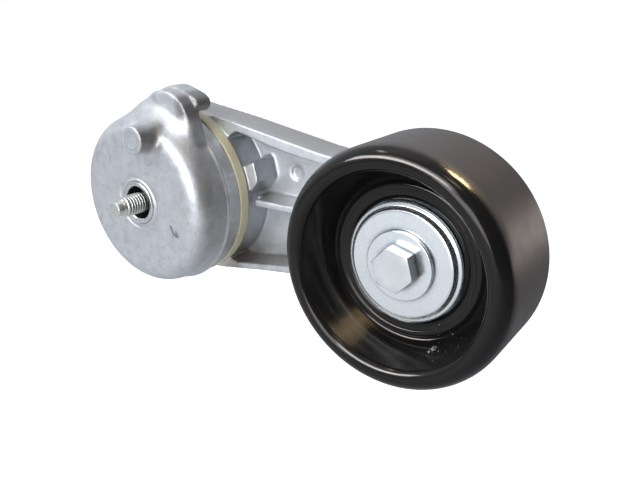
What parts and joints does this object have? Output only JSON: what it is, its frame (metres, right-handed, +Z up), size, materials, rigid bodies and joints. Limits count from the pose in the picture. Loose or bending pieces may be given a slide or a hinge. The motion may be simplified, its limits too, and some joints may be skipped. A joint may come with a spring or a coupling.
{
  "type": "automatic belt tensioner with idler pulley",
  "caption": "Sprung belt tensioner: round cast case with captive bolt, swinging channel arm and a smooth black idler pulley on a ball bearing.",
  "frame": {"origin": "the pivot axis where it meets the flat mounting face of the spring case", "axes": "+Y along the pivot axis from the mounting face back through the arm, +X from the pivot axis to the pulley axis, +Z up; the arm swings about +Y and positive turns the pulley down"},
  "size_m": [0.189, 0.0629, 0.0823],
  "materials": {
    "cast_aluminium": "die-cast, mottled satin",
    "bright_steel": "turned",
    "zinc_bolt": "zinc plated, faint yellow-green",
    "black_nylon": "moulded",
    "spring_steel": "phosphate coated",
    "cream_nylon": "moulded nylon, satin",
    "grey_nylon": "moulded",
    "zinc_plate": "zinc plated, bright",
    "black_coated_steel": "black e-coat, gloss inside, satin outside",
    "bearing_steel": "ground",
    "seal_rubber": "matt"
  },
  "bodies": {
    "base": {"spring_case": "cast_aluminium", "pivot_tube": "bright_steel", "torsion_spring": "spring_steel", "end_plate": "zinc_plate"},
    "arm": {"arm": "cast_aluminium", "damper_ring": "cream_nylon", "pivot_bushing": "grey_nylon", "thrust_washer": "grey_nylon", "bearing_inner_race": "bearing_steel", "bearing_sleeve": "bright_steel", "dust_shield_front": "zinc_plate", "dust_shield_rear": "zinc_plate", "pulley_bolt_washer": "zinc_plate", "pulley_bolt": "zinc_plate"},
    "pulley": {"pulley": "black_coated_steel", "bearing_outer_race": "bearing_steel", "bearing_seal_front": "seal_rubber", "bearing_seal_rear": "seal_rubber"},
    "cage": {"bearing_cage": "grey_nylon", "bearing_balls": "bearing_steel"},
    "bolt_carrier": {"bolt_retainer": "black_nylon"},
    "mounting_bolt": {"mounting_bolt": "zinc_bolt"}
  },
  "joints": [
    {"name": "arm_pivot", "type": "hinge", "parent": "base", "child": "arm", "pos_m": [0, 0, 0], "axis": [0, 1, 0], "range_deg": [0, 40], "stiffness_Nm_per_rad": 20, "springref_deg": -20.05, "deforming": ["torsion_spring"]},
    {"name": "pulley_spin", "type": "hinge", "parent": "arm", "child": "pulley", "pos_m": [0.1155, 0, 0], "axis": [0, 1, 0], "continuous": true},
    {"name": "cage_orbit", "type": "hinge", "parent": "arm", "child": "cage", "pos_m": [0.1155, 0, 0], "axis": [0, 1, 0], "continuous": true},
    {"name": "mounting_bolt_slide", "type": "slide", "parent": "base", "child": "bolt_carrier", "axis": [0, 1, 0], "range_m": [0, 0.0105]},
    {"name": "mounting_bolt_turn", "type": "hinge", "parent": "bolt_carrier", "child": "mounting_bolt", "pos_m": [0, 0, 0], "axis": [0, 1, 0], "continuous": true}
  ],
  "couplings": [
    {"joint": "cage_orbit", "follows": "pulley_spin", "ratio": 0.6182}
  ]
}
